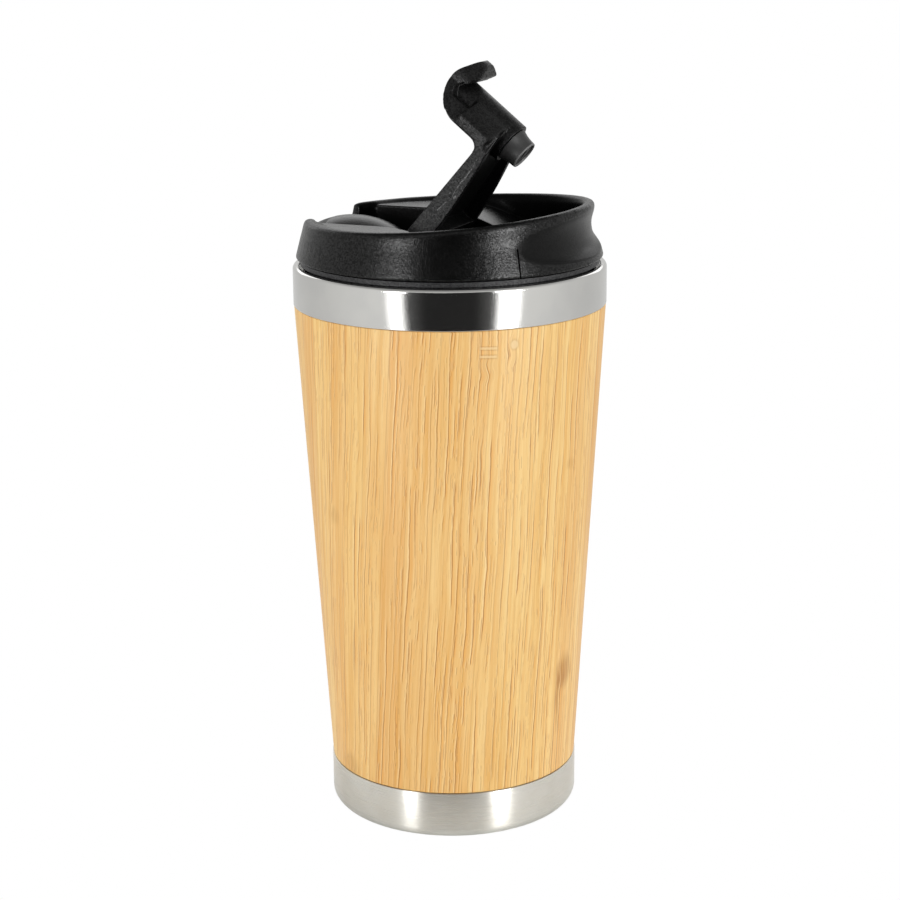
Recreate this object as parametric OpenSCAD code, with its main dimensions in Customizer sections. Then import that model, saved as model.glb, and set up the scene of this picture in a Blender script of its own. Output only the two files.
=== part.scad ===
// Travel cup: steel liner, bamboo sleeve, steel collar and base, and a moulded lid with a flip lever.
// The lever's plane is X-Z, with the drinking side at +X. The cup stands on Z = 0. Millimetres.

/* [Cup body] */
// Outer radius of the steel collar
collar_r = 44; // [40:0.5:48]
// Height of the crest of the collar's rolled lip
cup_h = 159.6; // [150:0.2:175]
// Height of the collar band from its lower edge to the crest
collar_band_h = 11.1; // [10:0.1:14]
// Thickness of the collar's steel
collar_t = 0.6; // [0.4:0.1:0.8]
// Step from the collar in to the bamboo at the top of the sleeve
sleeve_top_step = 0.15; // [0.05:0.05:0.5]
// Outer radius of the steel base
base_r = 35.95; // [33:0.05:38]
// Height of the steel base
base_h = 13.8; // [10:0.2:20]
// Rounding of the base's lower edge
base_round_r = 3; // [2:0.25:4]
// Thickness of the base's steel
base_t = 0.5; // [0.4:0.1:0.8]
// Step from the base in to the bamboo at the foot of the sleeve
sleeve_foot_step = 0.2; // [0.05:0.05:0.5]
// Thickness of the bamboo
sleeve_t = 1.8; // [1.4:0.1:2.2]
// Visible joint between the bamboo and each steel piece
joint_gap = 0.1; // [0.05:0.05:0.3]

/* [Foot] */
// Distance of the pad's edge inside the base's side
pad_inset = 9.45; // [7:0.05:14]
// Thickness of the pad
pad_t = 1.2; // [0.8:0.1:2]

/* [Liner and shell] */
// Distance of the mouth's wall inside the collar's outside
mouth_inset = 3; // [2.8:0.1:3.4]
// Depth of the mouth below the crest, down to the ledge
mouth_depth = 9.6; // [9:0.1:10.4]
// Width of the ledge under the mouth
ledge_w = 3.4; // [3:0.1:5]
// Fall of the ledge from the mouth to the liner's cone
ledge_drop = 2; // [1:0.1:3]
// Distance of the liner's wall inside the base's side, at the liner's floor
liner_foot_inset = 5.15; // [4.8:0.05:7]
// Height of the liner's floor
liner_floor_z = 8; // [7:0.1:12]
// Rounding between the liner's wall and floor
liner_round_r = 6; // [3:0.5:8]
// Thickness of the liner's steel
liner_t = 0.5; // [0.4:0.05:0.6]
// Thickness of the plastic shell behind the bamboo
shell_t = 1.2; // [0.8:0.1:1.4]
// Thickness of the shell's floor
shell_floor_t = 1.5; // [1:0.1:2]
// Height of the lip seal
seal_h = 1.5; // [1:0.1:1.8]

/* [Lid] */
// Gap between the collar's crest and the lid's flange
lid_seat_gap = 0.3; // [0.2:0.05:0.5]
// Distance of the flange's edge, a thin band under the lid, inside the collar's outside
flange_inset = 2; // [1.4:0.1:2.4]
// Height of the flange
flange_h = 1.2; // [0.8:0.1:1.6]
// Distance of the skirt's foot inside the collar's outside
skirt_inset = 1; // [0.2:0.1:1.3]
// Gap between the flange and the skirt's foot
skirt_gap = 0.35; // [0.2:0.05:0.6]
// Rounding of the skirt's foot
skirt_round_r = 0.4; // [0.2:0.1:0.8]
// Distance of the rim's outside inside the skirt's foot
rim_inset = 2.4; // [2:0.1:2.8]
// Height over the skirt's foot at which the flared skirt meets the upright rim
flare_h = 9.5; // [8:0.5:11]
// Thickness of the rim, between its outside and the bowl
rim_t = 3.7; // [3.2:0.1:4]
// Height of the bowl's floor over the skirt's foot
floor_h = 2.5; // [2.2:0.1:4]
// Thickness of the lid's deck
deck_t = 1.8; // [1.4:0.1:2.2]
// Height of the rim over the skirt's foot, where the lid's middle plane crosses it
rim_mid_h = 12.2; // [11:0.1:14]
// Radius of the sweep that lifts the rim towards the drinking side
rim_sweep_r = 705; // [600:5:900]
// Distance behind the middle at which the rim is lowest
rim_low_x = 43.5; // [40:0.5:48]

/* [Lid ledges and hump] */
// Height of the two side ledges over the skirt's foot
ledge_h = 10; // [8:0.2:10.4]
// Half the width of the pocket between the ledges
pocket_half_w = 18; // [16.5:0.5:20]
// Distance behind the middle at which the ledges start to fall
ledge_turn_x = 14; // [10:0.5:18]
// Radius of the ledges' fall into the bowl
ledge_fall_r = 50; // [40:1:60]
// Height of the hump's top over the skirt's foot
hump_h = 9.6; // [8:0.05:10]
// Distance of the hump's top behind the middle
hump_x = 30.2; // [28:0.1:31]
// Radius of the hump
hump_r = 24.5; // [23:0.1:26]
// Half the angle of the gap in the rim behind the hump
gap_angle = 22; // [20:0.5:26]

/* [Lid scoop] */
// Depth of the scoop in the skirt below the drinking edge
scoop_depth = 1.85; // [0.6:0.05:2]
// Height of the scoop's middle over the skirt's foot
scoop_h = 8.55; // [8:0.05:9.2]
// Radius of the scoop's hollow
scoop_r = 7.3; // [6:0.1:8]
// How much flatter than the rim the scoop's floor is in plan, as a radius
scoop_flatter_r = 11; // [6:0.1:14]

/* [Lid neck and gasket] */
// Gap between the neck and the mouth
neck_gap = 0.8; // [0.6:0.1:1.4]
// Thickness of the neck
neck_t = 2.6; // [2.2:0.1:3]
// Depth of the neck below the flange
neck_depth = 9; // [8:0.1:9.2]
// Height of the gasket's groove over the neck's foot
groove_z = 2; // [1.5:0.1:2.5]
// Height of the gasket's groove
groove_h = 4; // [3:0.1:4.5]
// Depth of the gasket's groove
groove_depth = 1.3; // [0.8:0.1:1.4]
// Radius of each lip of the gasket
gasket_lip_r = 0.7; // [0.4:0.05:0.8]
// Running clearance between the gasket's lips and the mouth
gasket_clearance = 0.07; // [0.05:0.01:0.1]

/* [Air hole] */
// Radius of the air hole
vent_r = 0.8; // [0.5:0.1:1.2]
// Distance of the air hole in front of the middle
vent_x = 6; // [4:0.5:10]

/* [Hinge] */
// Distance of the hinge pin behind the middle
hinge_x = 3.5; // [2:0.1:5]
// Height of the hinge pin over the bowl's floor
hinge_h = 3.45; // [3.35:0.05:4]
// Radius of the hinge pin
pin_r = 1.25; // [1:0.05:1.5]
// Radial clearance of the lever on the pin
pin_clearance = 0.05; // [0.02:0.01:0.1]
// Radius of the lever's barrel round the pin
barrel_r = 3; // [2.6:0.1:3]
// Radius of the rounded top of each lug
lug_r = 2.4; // [2.2:0.1:2.8]
// Thickness of each lug
lug_t = 2.6; // [2:0.1:3]
// Side clearance between the lever and each lug
lug_gap = 0.3; // [0.2:0.05:0.5]

/* [Lever arm] */
// Angle by which the lever stands open from its closed position
open_angle = 51; // [0:1:60]
// Width of the lever's arm at the hinge
arm_w = 34; // [32:0.5:34.4]
// Wall thickness of the lever
arm_t = 2; // [1.6:0.1:2.4]
// Height of the arm's back over the pin
arm_rise = 3.3; // [3:0.1:4]
// Drop of the arm's lower edge below the pin
arm_fall = 2.9; // [2.4:0.1:3]
// Rise of the arm's lower edge from the hinge to the head
arm_lift = 3.8; // [3:0.1:5]
// Power of the curve of the arm's lower edge
arm_curve_share = 1.7; // [1.4:0.1:3]

/* [Lever head and thumb tab] */
// Distance of the head's rear wall behind the post's middle
head_back = 2.7; // [2.4:0.1:3.4]
// Height of the head over the arm's back
head_h = 19; // [17.5:0.1:20]
// Width of the head where it leaves the arm
head_w = 24; // [21:0.5:25]
// Fillet between the arm's back and the head
head_fillet_r = 3; // [1:0.5:4]
// Radius of the head's domed rear
head_round_r = 9.6; // [9:0.1:10]
// Angle at which the domed rear turns into the tighter crown
crown_angle = 115; // [110:1:125]
// Radius of the crown
crown_r = 6.5; // [6:0.1:7.5]
// Thickness of the head's rear wall
crown_t = 2.3; // [1.8:0.1:2.6]
// Depth of the head's side walls, front to back
cheek_d = 4.8; // [4.4:0.1:5.4]
// Angle at which the dome's underside turns into the tab's
notch_angle = 113; // [108:1:118]
// Thickness of the thumb tab
tab_t = 3.8; // [3:0.1:4.2]
// Length of the thumb tab from the crown to its rounded end
tab_l = 3.3; // [2.5:0.1:4.5]
// Slope of the thumb tab below level
tab_angle = 30; // [26:1:34]
// Half the width of the thumb tab, whose end is round in plan
tab_half_w = 7.5; // [6.5:0.1:8]
// Radius of each grip ridge under the tab
ridge_r = 1.05; // [0.8:0.05:1.2]
// Distance from one grip ridge to the next
ridge_pitch = 1.45; // [1.3:0.05:1.8]

/* [Stopper] */
// Distance from the bowl's wall back to the drinking hole and the lever's post
spout_inset = 6.5; // [6.3:0.1:7]
// Radius of the lever's post
post_r = 6; // [5.6:0.1:6.1]
// Height of the post's shoulder over the bowl's floor when the lever is closed
shoulder_h = 2.4; // [2.2:0.1:3]
// Radius of the stopper under the post's shoulder
plug_top_r = 5.1; // [4.8:0.1:5.3]
// Radius of the stopper's tip
plug_tip_r = 4.1; // [3.8:0.1:4.2]
// Length of the stopper below the post's shoulder
plug_l = 5; // [4.6:0.1:5.5]
// Radius of the stopper's stem inside the post
stem_r = 2.6; // [2:0.1:3]
// Length of the stopper's stem
stem_l = 6; // [4:0.5:8]
// Clearance between the closed stopper and the drinking hole
plug_clearance = 0.1; // [0.05:0.01:0.2]

/* [Hidden] */
$fn = 96;
fit = 0.05;
over = 1;

mouth_r = collar_r - mouth_inset;
liner_top_r = mouth_r - ledge_w;
liner_foot_r = base_r - liner_foot_inset;
pad_r = base_r - pad_inset;
skirt_r = collar_r - skirt_inset;
flange_r = collar_r - flange_inset;
rim_r = skirt_r - rim_inset;
bowl_r = rim_r - rim_t;
neck_r = mouth_r - neck_gap;
scoop_plan_r = rim_r + scoop_flatter_r;
spout_x = bowl_r - spout_inset;
head_x = spout_x - head_back;

collar_foot_z = cup_h - collar_band_h;
sleeve_top_z = collar_foot_z - joint_gap;
sleeve_foot_z = base_h + joint_gap;
sleeve_top_r = collar_r - sleeve_top_step;
sleeve_foot_r = base_r - sleeve_foot_step;
sleeve_slope = (sleeve_top_r - sleeve_foot_r) / (sleeve_top_z - sleeve_foot_z);
pad_recess_r = pad_r + joint_gap;
cap_floor_z = pad_t + base_t;
shell_foot_z = cap_floor_z + fit;
shell_floor_z = shell_foot_z + shell_floor_t;
liner_out_r = mouth_r + liner_t;
leg_r = liner_out_r + fit;
roll_r = (collar_r - leg_r) / 2;
roll_z = cup_h - roll_r;
leg_foot_z = roll_z - seal_h - collar_t - fit;
neck_top_z = leg_foot_z - fit;
mouth_foot_z = cup_h - mouth_depth;
liner_top_z = roll_z;

flange_z = cup_h + lid_seat_gap;
skirt_z = flange_z + flange_h + skirt_gap;
deck_floor_z = skirt_z + floor_h;
deck_under_z = deck_floor_z - deck_t;
rim_mid_z = skirt_z + rim_mid_h;
rim_sweep_z = rim_mid_z + sqrt(pow(rim_sweep_r, 2) - pow(rim_low_x, 2));
rim_top_z = rim_sweep_z - sqrt(pow(rim_sweep_r, 2) - pow(rim_low_x + rim_r, 2));
ledge_z = skirt_z + ledge_h;
hump_z = skirt_z + hump_h - hump_r;
scoop_z = skirt_z + scoop_h;
scoop_center_x = rim_r - scoop_depth - scoop_plan_r;
neck_foot_z = flange_z - neck_depth;
neck_in_r = neck_r - neck_t;
cavity_r = neck_in_r - deck_t;
hinge_z = deck_floor_z + hinge_h;
lug_in_y = arm_w / 2 + lug_gap;
lug_out_y = lug_in_y + lug_t;

arm_top_z = hinge_z + arm_rise;
arm_foot_z = hinge_z - arm_fall;
shoulder_z = deck_floor_z + shoulder_h;
head_top_z = arm_top_z + head_h;
head_center_x = head_x + head_round_r;
head_center_z = head_top_z - head_round_r;
head_in_r = head_round_r - crown_t;
cheek_x = head_x + cheek_d;
cheek_angle = acos((cheek_x - head_center_x) / head_in_r);
crown_x = head_center_x + (head_round_r - crown_r) * cos(crown_angle);
crown_z = head_center_z + (head_round_r - crown_r) * sin(crown_angle);
tip_r = tab_t / 2;
tip_x = crown_x + (crown_r - tip_r) * sin(tab_angle) + tab_l * cos(tab_angle);
tip_z = crown_z + (crown_r - tip_r) * cos(tab_angle) - tab_l * sin(tab_angle);
arc_steps = 12;
crown_angle_step = (180 - crown_angle) / arc_steps;

// Outer radius of the bamboo at a height
function sleeve_r(z) = sleeve_foot_r + (z - sleeve_foot_z) * sleeve_slope;
// Outer radius of the shell behind the bamboo at a height
function shell_r(z) = sleeve_r(z) - sleeve_t - fit;
// Inner radius of the liner's cone at a height
function liner_r(z) = liner_foot_r + (z - liner_floor_z) * (liner_top_r - liner_foot_r)
    / (mouth_foot_z - ledge_drop - liner_floor_z);

// Points of an arc about a centre, from one angle to another
function arc(x, z, r, from, to) = [
    for (step = [0:arc_steps])
        let (a = from + (to - from) * step / arc_steps)
            [x + r * cos(a), z + r * sin(a)]
];
// Point of the curved lower edge of the lever's arm, at a share of the way to the head
function arm_edge(share) = [share * cheek_x, arm_foot_z + arm_lift * pow(share, arm_curve_share)];

// Half outline of a cup with a rounded foot, for turning
module cup_outline(r, h, round_r) {
    translate([0, round_r]) square([r, h - round_r]);
    square([r - round_r, h]);
    translate([r - round_r, round_r]) circle(r = round_r);
}

// Steel base, pressed as a shallow cup with a recess for the pad
module base_cap() {
    color("silver") rotate_extrude() intersection() {
        square([base_r, base_h]);
        difference() {
            union() {
                difference() {
                    cup_outline(base_r, base_h, base_round_r);
                    translate([0, base_t])
                        cup_outline(base_r - base_t, base_h, base_round_r - base_t);
                }
                square([pad_recess_r + base_t, cap_floor_z]);
            }
            square([pad_recess_r, pad_t]);
        }
    }
}

// Soft pad that lies flush in the base's recess
module foot_pad() {
    color("dimgray") cylinder(r = pad_r, h = pad_t);
}

// Plastic shell that carries the bamboo and leaves an air gap round the liner
module outer_shell() {
    color("gray") rotate_extrude() polygon([
        [0, shell_foot_z],
        [shell_r(shell_foot_z), shell_foot_z],
        [shell_r(sleeve_top_z), sleeve_top_z],
        [shell_r(sleeve_top_z), collar_foot_z],
        [collar_r - collar_t - fit, collar_foot_z],
        [collar_r - collar_t - fit, neck_top_z],
        [liner_out_r + fit, neck_top_z],
        [liner_out_r + fit, collar_foot_z + shell_t],
        [shell_r(sleeve_top_z) - shell_t, sleeve_top_z],
        [shell_r(shell_floor_z) - shell_t, shell_floor_z],
        [0, shell_floor_z]
    ]);
}

// Plastic ring that fills the steel base round the shell's foot
module base_ring() {
    ring_z = base_round_r + fit;
    ring_r = base_r - base_t - fit;
    color("gray") rotate_extrude() polygon([
        [shell_r(ring_z) + fit, ring_z],
        [ring_r, ring_z],
        [ring_r, base_h - fit],
        [shell_r(base_h - fit) + fit, base_h - fit]
    ]);
}

// Sleeve of glued bamboo strips, turned to a taper
module bamboo_sleeve() {
    color("burlywood") rotate_extrude() polygon([
        [sleeve_foot_r - sleeve_t, sleeve_foot_z],
        [sleeve_foot_r, sleeve_foot_z],
        [sleeve_top_r, sleeve_top_z],
        [sleeve_top_r - sleeve_t, sleeve_top_z]
    ]);
}

// Half outline of the space inside the liner, grown outwards by an amount
module liner_space(grow) {
    floor_z = liner_floor_z - grow;
    cone_top_z = mouth_foot_z - ledge_drop;
    round_r = liner_round_r + grow;
    round_z = floor_z + round_r;
    polygon([
        [0, round_z],
        [liner_r(round_z) + grow, round_z],
        [liner_top_r + grow, cone_top_z],
        [mouth_r + grow, mouth_foot_z],
        [mouth_r + grow, liner_top_z],
        [0, liner_top_z]
    ]);
    translate([0, floor_z]) square([liner_r(round_z) + grow - round_r, round_r]);
    intersection() {
        translate([liner_r(round_z) + grow - round_r, round_z]) circle(r = round_r);
        translate([0, floor_z]) square([collar_r, round_r]);
    }
}

// Deep-drawn steel liner with a stepped mouth
module inner_cup() {
    color("lightgray") rotate_extrude() difference() {
        liner_space(liner_t);
        liner_space(0);
    }
}

// Polished steel band, rolled over the mouth into a short inner leg
module steel_collar() {
    color("gainsboro") rotate_extrude() {
        translate([collar_r - collar_t, collar_foot_z]) square([collar_t, roll_z - collar_foot_z]);
        translate([leg_r, leg_foot_z]) square([collar_t, roll_z - leg_foot_z]);
        intersection() {
            translate([leg_r, roll_z]) square([roll_r * 2, roll_r]);
            translate([leg_r + roll_r, roll_z]) difference() {
                circle(r = roll_r);
                circle(r = roll_r - collar_t);
            }
        }
    }
}

// Silicone ring under the collar's roll
module lip_seal() {
    ring_r = leg_r + collar_t + fit;
    color("darkslategray") translate([0, 0, neck_top_z + fit]) difference() {
        cylinder(r = collar_r - collar_t - fit, h = seal_h);
        translate([0, 0, -over]) cylinder(r = ring_r, h = seal_h + over * 2);
    }
}

// Solid of the flared skirt and upright rim, before it is hollowed
module lid_blank() {
    rotate_extrude() {
        polygon([
            [0, skirt_z],
            [skirt_r - skirt_round_r, skirt_z],
            [skirt_r - skirt_round_r, skirt_z + skirt_round_r],
            [skirt_r, skirt_z + skirt_round_r],
            [rim_r, skirt_z + flare_h],
            [rim_r, rim_top_z + over],
            [0, rim_top_z + over]
        ]);
        translate([skirt_r - skirt_round_r, skirt_z + skirt_round_r]) circle(r = skirt_round_r);
    }
}

// Prism across the lid from an outline in X and Z, with a half width
module across(half_w) {
    rotate([90, 0, 0]) linear_extrude(height = half_w * 2, center = true) children();
}

// Outline in X and Z of what lies under a ledge's surface, lowered by an amount
module ledge_outline(lower) {
    translate([-ledge_turn_x, ledge_z - lower - ledge_fall_r]) circle(r = ledge_fall_r, $fn = 360);
    translate([-skirt_r, deck_under_z]) square([skirt_r - ledge_turn_x, ledge_z - lower - deck_under_z]);
}

// Round hump behind the hinge, lowered by an amount
module hump(lower) {
    translate([-hump_x, 0, hump_z]) sphere(r = hump_r - lower, $fn = 180);
}

// Everything above the deck that is cut out of the lid's blank
module bowl_cut() {
    difference() {
        translate([0, 0, deck_floor_z]) cylinder(r = bowl_r, h = rim_top_z);
        difference() {
            across(skirt_r) ledge_outline(0);
            translate([-skirt_r, -pocket_half_w, deck_floor_z - over])
                cube([skirt_r * 2, pocket_half_w * 2, rim_top_z]);
        }
        hump(0);
        lugs();
    }
}

// Gap in the rim behind the hinge, whose floor carries on the hump's back
module rear_gap_cut() {
    difference() {
        translate([0, 0, deck_floor_z]) linear_extrude(height = rim_top_z) polygon([
            [0, 0],
            [-skirt_r * 2, skirt_r * 2 * tan(gap_angle)],
            [-skirt_r * 2, -skirt_r * 2 * tan(gap_angle)]
        ]);
        cylinder(r = bowl_r - over, h = rim_top_z * 2);
        hump(0);
    }
}

// Hollows under the deck, one wall below its surface
module under_cut() {
    translate([0, 0, skirt_z - over]) cylinder(r = neck_r + fit, h = deck_under_z - skirt_z + over);
    intersection() {
        translate([0, 0, deck_under_z - over]) cylinder(r = cavity_r, h = rim_top_z - deck_under_z);
        union() {
            difference() {
                across(skirt_r) ledge_outline(deck_t);
                translate([-skirt_r, -pocket_half_w - deck_t, deck_under_z - over])
                    cube([skirt_r * 2, (pocket_half_w + deck_t) * 2, rim_top_z]);
            }
            hump(deck_t);
        }
    }
}

// Two lugs on the deck, joined to the pocket's walls, that carry the hinge pin
module lugs() {
    for (side = [-1, 1])
        translate([-hinge_x, side * (lug_in_y + lug_t / 2), 0]) {
            translate([0, 0, hinge_z]) rotate([90, 0, 0]) cylinder(r = lug_r, h = lug_t, center = true);
            translate([0, 0, (deck_floor_z + hinge_z - deck_t) / 2])
                cube([lug_r * 2, lug_t, hinge_z - deck_floor_z + deck_t], center = true);
        }
}

// Moulded lid: skirt, slanted rim, bowl, ledges, hump and hinge lugs
module lid_shell() {
    color([0.13, 0.13, 0.13]) difference() {
        lid_blank();
        bowl_cut();
        rear_gap_cut();
        under_cut();
        // Sweep that lifts the rim towards the drinking side
        translate([-rim_low_x, 0, rim_sweep_z]) rotate([90, 0, 0])
            cylinder(r = rim_sweep_r, h = skirt_r * 2 + over * 2, center = true, $fn = 720);
        // Scoop below the drinking edge
        translate([scoop_center_x, 0, scoop_z]) rotate_extrude($fn = 180)
            translate([scoop_plan_r + scoop_r, 0]) circle(r = scoop_r);
        // Drinking hole, tapered like the stopper
        translate([spout_x, 0, shoulder_z]) rotate([180, 0, 0])
            cylinder(r1 = plug_top_r + plug_clearance, r2 = plug_tip_r + plug_clearance, h = plug_l);
        // Air hole
        translate([vent_x, 0, deck_under_z - over]) cylinder(r = vent_r, h = deck_t + over * 2);
        // Bores for the hinge pin
        translate([-hinge_x, 0, hinge_z]) rotate([90, 0, 0])
            cylinder(r = pin_r, h = lug_out_y * 2 + over, center = true);
    }
}

// Neck that plugs into the mouth, with the flange that sits on the collar
module neck_ring() {
    color([0.16, 0.16, 0.16]) rotate_extrude() difference() {
        union() {
            translate([neck_in_r, neck_foot_z]) square([neck_t, deck_under_z - fit - neck_foot_z]);
            translate([neck_in_r, flange_z]) square([flange_r - neck_in_r, flange_h]);
        }
        translate([neck_r - groove_depth, neck_foot_z + groove_z]) square([groove_depth + over, groove_h]);
    }
}

// Silicone gasket in the neck's groove, with two lips
module lid_gasket() {
    lip_x = mouth_r - gasket_clearance - gasket_lip_r;
    body_r = neck_r - groove_depth + fit;
    color([0.2, 0.2, 0.2]) rotate_extrude() {
        translate([body_r, neck_foot_z + groove_z + fit]) square([lip_x - body_r, groove_h - fit * 2]);
        for (level = [1, 3])
            translate([lip_x, neck_foot_z + groove_z + groove_h * level / 4]) circle(r = gasket_lip_r);
    }
}

// Steel pin through both lugs and the lever's barrel
module hinge_pin() {
    color("silver") translate([-hinge_x, 0, hinge_z]) rotate([90, 0, 0])
        cylinder(r = pin_r, h = lug_out_y * 2, center = true);
}

// Turns what is modelled closed up to the lever's open position
module opened() {
    translate([-hinge_x, 0, hinge_z]) rotate([0, -open_angle, 0]) translate([hinge_x, 0, -hinge_z])
        children();
}

// Side outline of the arm, the head and the hooked thumb tab, lever closed
module lever_outline() {
    polygon(concat(
        arc(-hinge_x, hinge_z, barrel_r, -90, -210),
        [[-hinge_x, arm_top_z]],
        arc(head_x - head_fillet_r, arm_top_z + head_fillet_r, head_fillet_r, -90, 0),
        arc(head_center_x, head_center_z, head_round_r, 180, crown_angle + crown_angle_step),
        arc(crown_x, crown_z, crown_r, crown_angle, 90 - tab_angle),
        arc(tip_x, tip_z, tip_r, 90 - tab_angle, -90 - tab_angle),
        arc(head_center_x, head_center_z, head_in_r, notch_angle, cheek_angle),
        [for (step = [arc_steps:-1:1]) arm_edge(step / arc_steps)],
        [[0, arm_foot_z]]
    ));
}

// Side outline of the space between the lever's side walls
module lever_hollow_outline() {
    hollow_x = barrel_r + arm_t / 2 - hinge_x;
    polygon(concat(
        [[hollow_x, arm_foot_z - over], [cheek_x + over, arm_foot_z - over]],
        [[cheek_x + over, head_center_z]],
        arc(head_center_x, head_center_z, head_in_r, notch_angle, 180),
        [[head_center_x - head_in_r, arm_top_z - arm_t], [hollow_x, arm_top_z - arm_t]]
    ));
}

// Side outline that keeps the post inside the head's rear wall and dome
module post_outline() {
    reach_x = spout_x - post_r - over;
    polygon(concat(
        [[reach_x, shoulder_z], [head_center_x + over, shoulder_z]],
        [[head_center_x + over, head_center_z]],
        arc(head_center_x, head_center_z, head_round_r - crown_t / 2, 90, 180),
        [[head_center_x - head_round_r + crown_t / 2, arm_top_z - arm_t / 2]],
        [[reach_x, arm_top_z - arm_t / 2]]
    ));
}

// Half of the plan outline, from the hinge to the round end of the tab, moved in by an amount
function plan_edge(inset) = concat(
    [[-hinge_x - barrel_r - over, arm_w / 2 - inset], [0, arm_w / 2 - inset], [head_x, head_w / 2 - inset]],
    [for (point = arc(tip_x + tip_r - tab_half_w, 0, tab_half_w, 90, 0)) [point[0], max(point[1] - inset, 0)]]
);

// Plan outline that draws the lever in from the hinge to the tab
module lever_plan(inset) {
    edge = plan_edge(inset);
    last = len(edge) - 1;
    polygon(concat(edge, [for (k = [last - 1:-1:0]) [edge[k][0], -edge[k][1]]]));
}

// Lever's plan outline raised through the whole lever
module lever_column(inset) {
    translate([0, 0, arm_foot_z - arm_t]) linear_extrude(height = head_top_z) lever_plan(inset);
}

// Flip lever: barrel, hollow arm, domed head with a thumb tab, and the stopper's post
module lever() {
    color([0.15, 0.15, 0.15]) opened() difference() {
        union() {
            intersection() {
                union() {
                    difference() {
                        across(arm_w / 2) lever_outline();
                        intersection() {
                            across(arm_w / 2) lever_hollow_outline();
                            lever_column(arm_t);
                        }
                    }
                    // Grip ridges under the tab
                    for (row = [0:2])
                        translate([tip_x, 0, tip_z]) rotate([0, tab_angle, 0])
                            translate([-row * ridge_pitch, 0, -tip_r]) rotate([90, 0, 0])
                                cylinder(r = ridge_r, h = arm_w, center = true);
                }
                lever_column(0);
            }
            intersection() {
                translate([spout_x, 0, shoulder_z]) cylinder(r = post_r, h = head_top_z - shoulder_z);
                across(post_r + over) post_outline();
            }
        }
        // Bore for the hinge pin
        translate([-hinge_x, 0, hinge_z]) rotate([90, 0, 0])
            cylinder(r = pin_r + pin_clearance, h = arm_w + over, center = true);
        // Socket for the stopper's stem
        translate([spout_x, 0, shoulder_z - over]) cylinder(r = stem_r + fit, h = stem_l + fit + over);
    }
}

// Silicone stopper pushed into the post
module stopper() {
    color([0.1, 0.1, 0.1]) opened() translate([spout_x, 0, shoulder_z]) {
        rotate([180, 0, 0]) cylinder(r1 = plug_top_r, r2 = plug_tip_r, h = plug_l);
        cylinder(r = stem_r, h = stem_l);
    }
}

base_cap();
foot_pad();
outer_shell();
base_ring();
bamboo_sleeve();
inner_cup();
steel_collar();
lip_seal();
lid_shell();
neck_ring();
lid_gasket();
hinge_pin();
lever();
stopper();
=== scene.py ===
"""Looks of the bamboo travel cup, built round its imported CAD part. Run it as a script or register it as an add-on."""

import math

import bmesh
import bpy
from bpy.props import FloatProperty, FloatVectorProperty, IntProperty, PointerProperty
from mathutils import Matrix, Vector


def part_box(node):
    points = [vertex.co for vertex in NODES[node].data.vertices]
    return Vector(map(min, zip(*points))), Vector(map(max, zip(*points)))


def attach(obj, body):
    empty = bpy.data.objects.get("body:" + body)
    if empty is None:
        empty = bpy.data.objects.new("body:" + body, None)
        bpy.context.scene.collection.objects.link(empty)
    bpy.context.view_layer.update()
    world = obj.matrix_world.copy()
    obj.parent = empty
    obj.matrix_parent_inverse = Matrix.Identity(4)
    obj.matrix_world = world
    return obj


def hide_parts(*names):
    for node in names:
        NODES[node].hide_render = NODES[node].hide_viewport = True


bl_info = {
    "name": "Bamboo travel cup",
    "version": (1, 0, 0),
    "blender": (4, 5, 0),
    "location": "View3D > Sidebar > Cup",
    "description": "Builds the visible pieces, materials and studio of a bamboo travel cup",
    "category": "Object",
}

MM = 0.001
# Direction round the cup, in degrees from +X, of the side that the camera looks at
FACING = -67.0
# The CAD part holds the lever open by this angle; the closed stopper hangs below this point (millimetres)
OPEN_ANGLE = 51.0
SPOUT_X, SHOULDER_Z = 30.4, 166.35
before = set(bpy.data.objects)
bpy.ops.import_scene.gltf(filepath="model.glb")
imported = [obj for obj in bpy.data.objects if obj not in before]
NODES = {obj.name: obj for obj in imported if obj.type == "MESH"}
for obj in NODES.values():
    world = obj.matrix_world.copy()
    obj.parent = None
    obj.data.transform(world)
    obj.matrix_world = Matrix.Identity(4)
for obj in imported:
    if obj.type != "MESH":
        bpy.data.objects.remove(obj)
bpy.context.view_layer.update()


def rgb(code):
    """A hex sRGB colour as a linear RGBA tuple."""
    code = code.lstrip("#")
    parts = [int(code[i : i + 2], 16) / 255 for i in (0, 2, 4)]
    linear = [c / 12.92 if c <= 0.04045 else ((c + 0.055) / 1.055) ** 2.4 for c in parts]
    return (*linear, 1.0)


# ---------------------------------------------------------------- settings


def length(name, default_mm, text, low=0.0, high=1.0):
    """A size that a user can change, given in millimetres and kept in metres."""
    return FloatProperty(
        name=name, description=text, default=default_mm * MM, min=low, max=high, unit="LENGTH", precision=5
    )


def tint(name, code, text):
    """A colour that a user can change, given as hex sRGB."""
    return FloatVectorProperty(
        name=name, description=text, default=rgb(code)[:3], size=3, subtype="COLOR", min=0.0, max=1.0
    )


class CupSizes(bpy.types.PropertyGroup):
    """Sizes that the looks add to the CAD part"""

    segments: IntProperty(name="Segments", description="Faces round each turned piece", default=256, min=32, max=512)
    sheet_edge_r: length("Sheet edge", 0.12, "Rounding of the cut edges of sheet steel")
    sleeve_edge_r: length("Sleeve edge", 0.3, "Broken edge at both ends of the bamboo")
    lid_voxel: length("Lid detail", 0.25, "Grid size used to soften the moulded lid")
    lever_voxel: length("Lever detail", 0.16, "Grid size used to soften the lever")
    strip_w: length("Strip width", 7.0, "Width of one bamboo strip in the sleeve")
    fibre_w: length("Fibre width", 0.24, "Width of the bamboo's fibre bundles")
    grain_angle: FloatProperty(
        name="Grain side",
        description="Where round the cup the grain runs straight up",
        default=math.radians(55),
        subtype="ANGLE",
    )


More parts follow.
